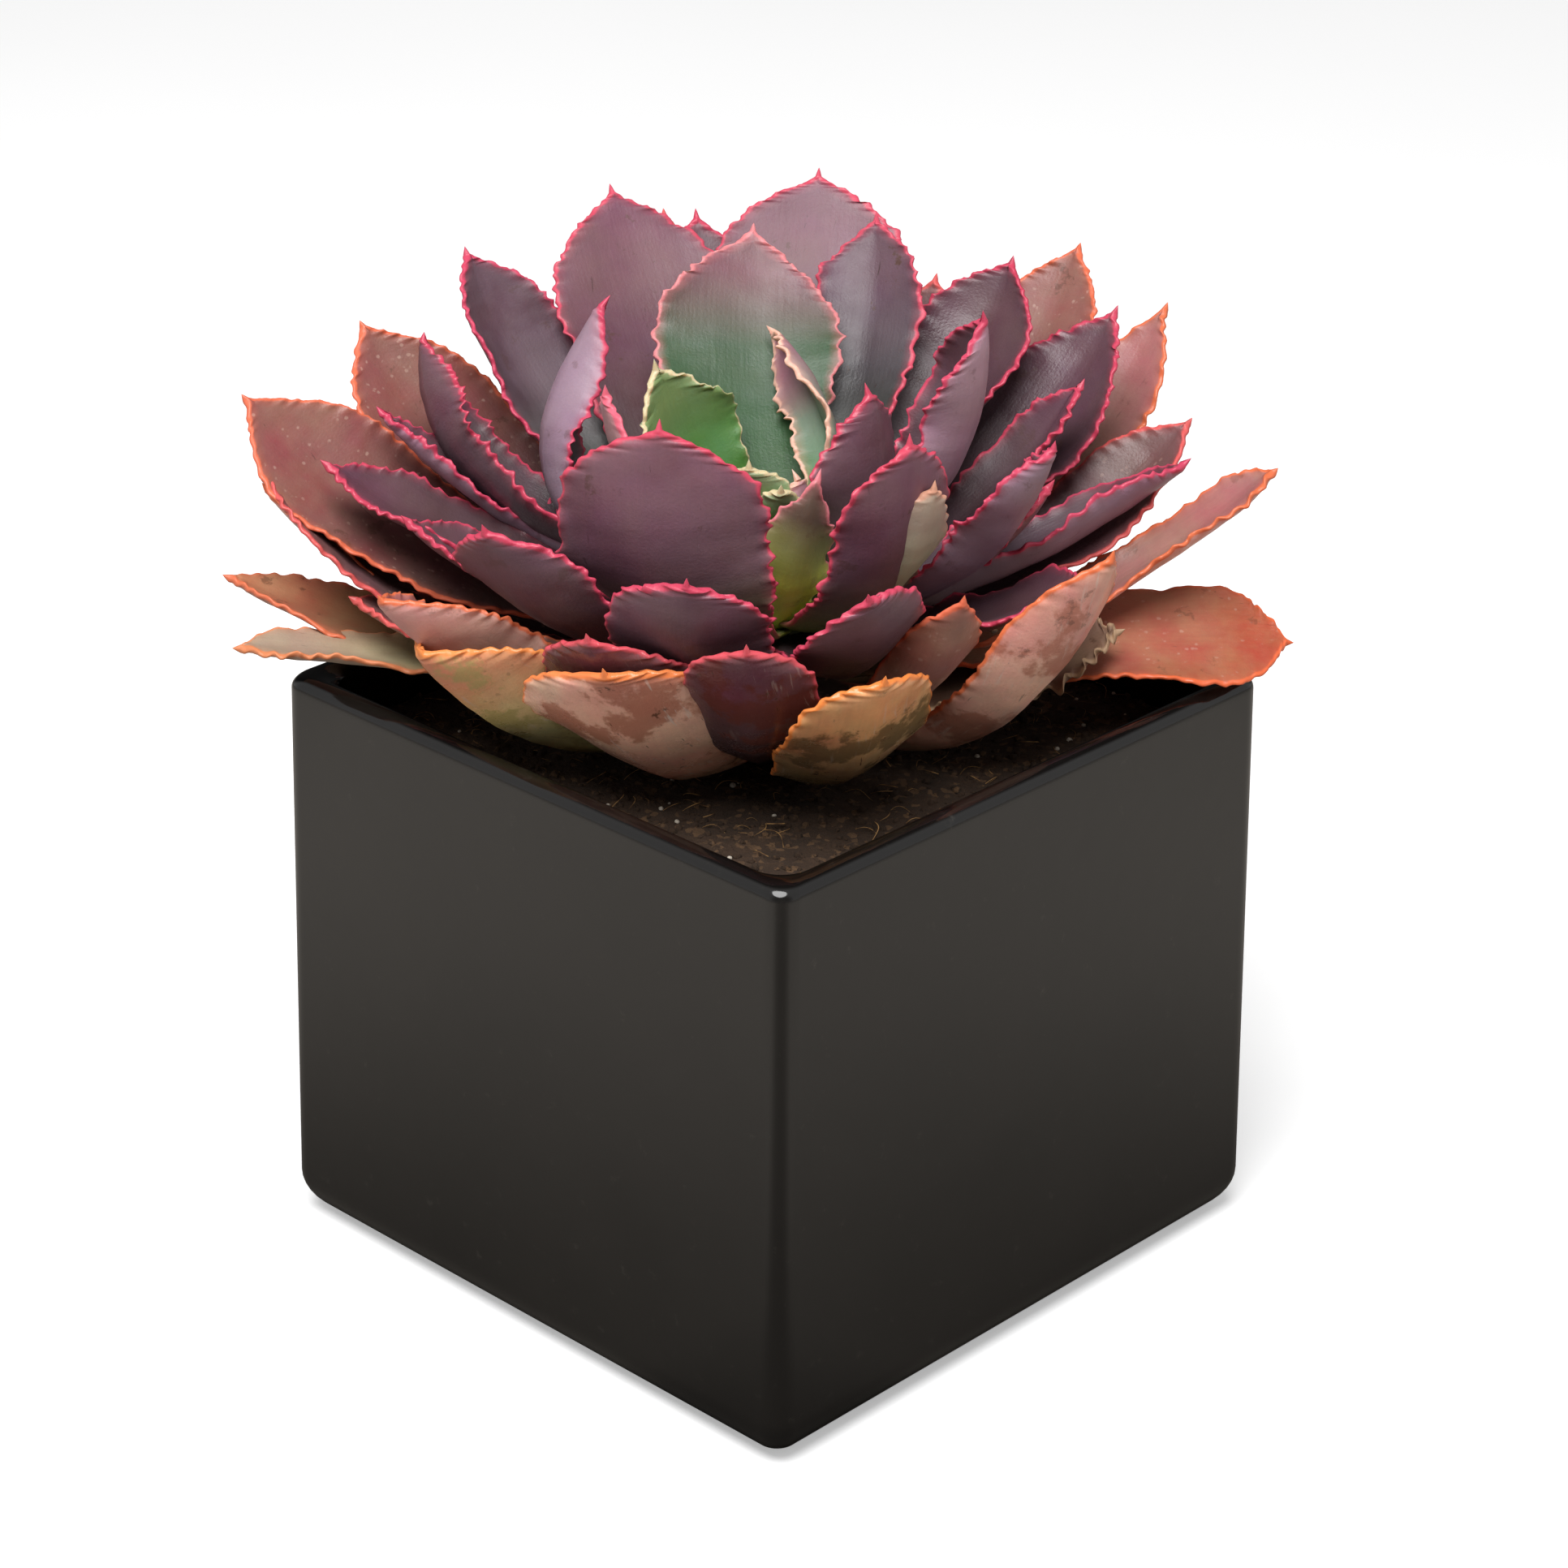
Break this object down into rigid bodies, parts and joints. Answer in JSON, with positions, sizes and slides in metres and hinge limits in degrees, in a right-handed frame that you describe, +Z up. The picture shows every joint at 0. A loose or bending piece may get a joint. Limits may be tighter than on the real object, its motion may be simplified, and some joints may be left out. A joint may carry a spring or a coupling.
{
  "type": "potted echeveria",
  "caption": "Crinkle-edged echeveria rosette with green heart, plum leaves and copper outer leaves, rooted in peat in a square black glazed pot.",
  "frame": {"origin": "middle of the pot's flat underside", "axes": "+Z up, the pot's four sides face +X, -X, +Y and -Y, and the corner at +X -Y is the front"},
  "size_m": [0.1843, 0.209, 0.2226],
  "materials": {
    "glazed_black": "black glazed ceramic, glossy",
    "peat": "moist peat with fibres and perlite",
    "woody_stem": "rough bark with leaf scars",
    "copper_leaf": "fleshy old leaf, satin",
    "plum_leaf": "fleshy leaf with a waxy bloom, satin",
    "green_leaf": "fleshy young leaf with a waxy bloom, satin"
  },
  "bodies": {
    "root": {"pot": "glazed_black", "peat": "peat", "stem": "woody_stem", "copper_leaves": "copper_leaf", "plum_leaves": "plum_leaf", "green_leaves": "green_leaf"}
  },
  "joints": []
}
